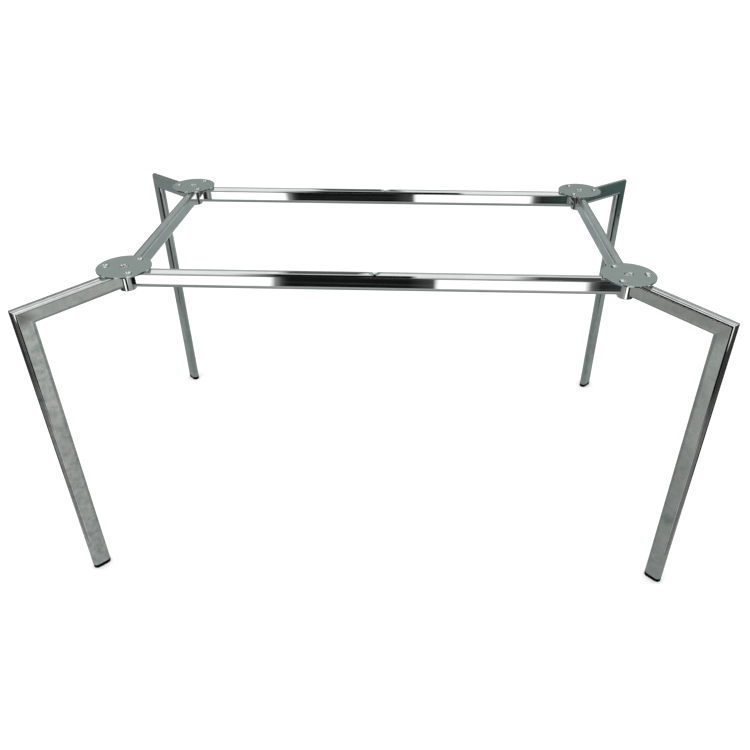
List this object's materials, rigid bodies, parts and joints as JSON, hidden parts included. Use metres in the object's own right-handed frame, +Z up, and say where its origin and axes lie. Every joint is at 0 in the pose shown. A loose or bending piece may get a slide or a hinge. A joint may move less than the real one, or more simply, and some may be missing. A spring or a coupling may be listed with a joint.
{
  "type": "conference table frame",
  "caption": "Chromed oval-tube table frame: rails between round corner posts, flat top discs with screw holes, arms running out at each corner to upright legs on black feet.",
  "frame": {"origin": "on the floor under the middle of the frame", "axes": "+X along the long rails, +Y along the short rails, +Z up"},
  "size_m": [1.364, 0.854, 0.72],
  "materials": {
    "chromed_tube": "bright chrome plate, slightly smudged",
    "chromed_post": "bright chrome plate",
    "chromed_disc": "satin chrome plate",
    "plated_screw": "zinc plate",
    "black_foot": "moulded, fine grain"
  },
  "bodies": {
    "root": {"rail_front": "chromed_tube", "rail_rear": "chromed_tube", "rail_left": "chromed_tube", "rail_right": "chromed_tube", "post_front_left": "chromed_post", "top_disc_front_left": "chromed_disc", "disc_screw_front_left": "plated_screw", "arm_front_left": "chromed_tube", "leg_front_left": "chromed_tube", "foot_front_left": "black_foot", "post_front_right": "chromed_post", "top_disc_front_right": "chromed_disc", "disc_screw_front_right": "plated_screw", "arm_front_right": "chromed_tube", "leg_front_right": "chromed_tube", "foot_front_right": "black_foot", "post_rear_left": "chromed_post", "top_disc_rear_left": "chromed_disc", "disc_screw_rear_left": "plated_screw", "arm_rear_left": "chromed_tube", "leg_rear_left": "chromed_tube", "foot_rear_left": "black_foot", "post_rear_right": "chromed_post", "top_disc_rear_right": "chromed_disc", "disc_screw_rear_right": "plated_screw", "arm_rear_right": "chromed_tube", "leg_rear_right": "chromed_tube", "foot_rear_right": "black_foot"}
  },
  "joints": []
}
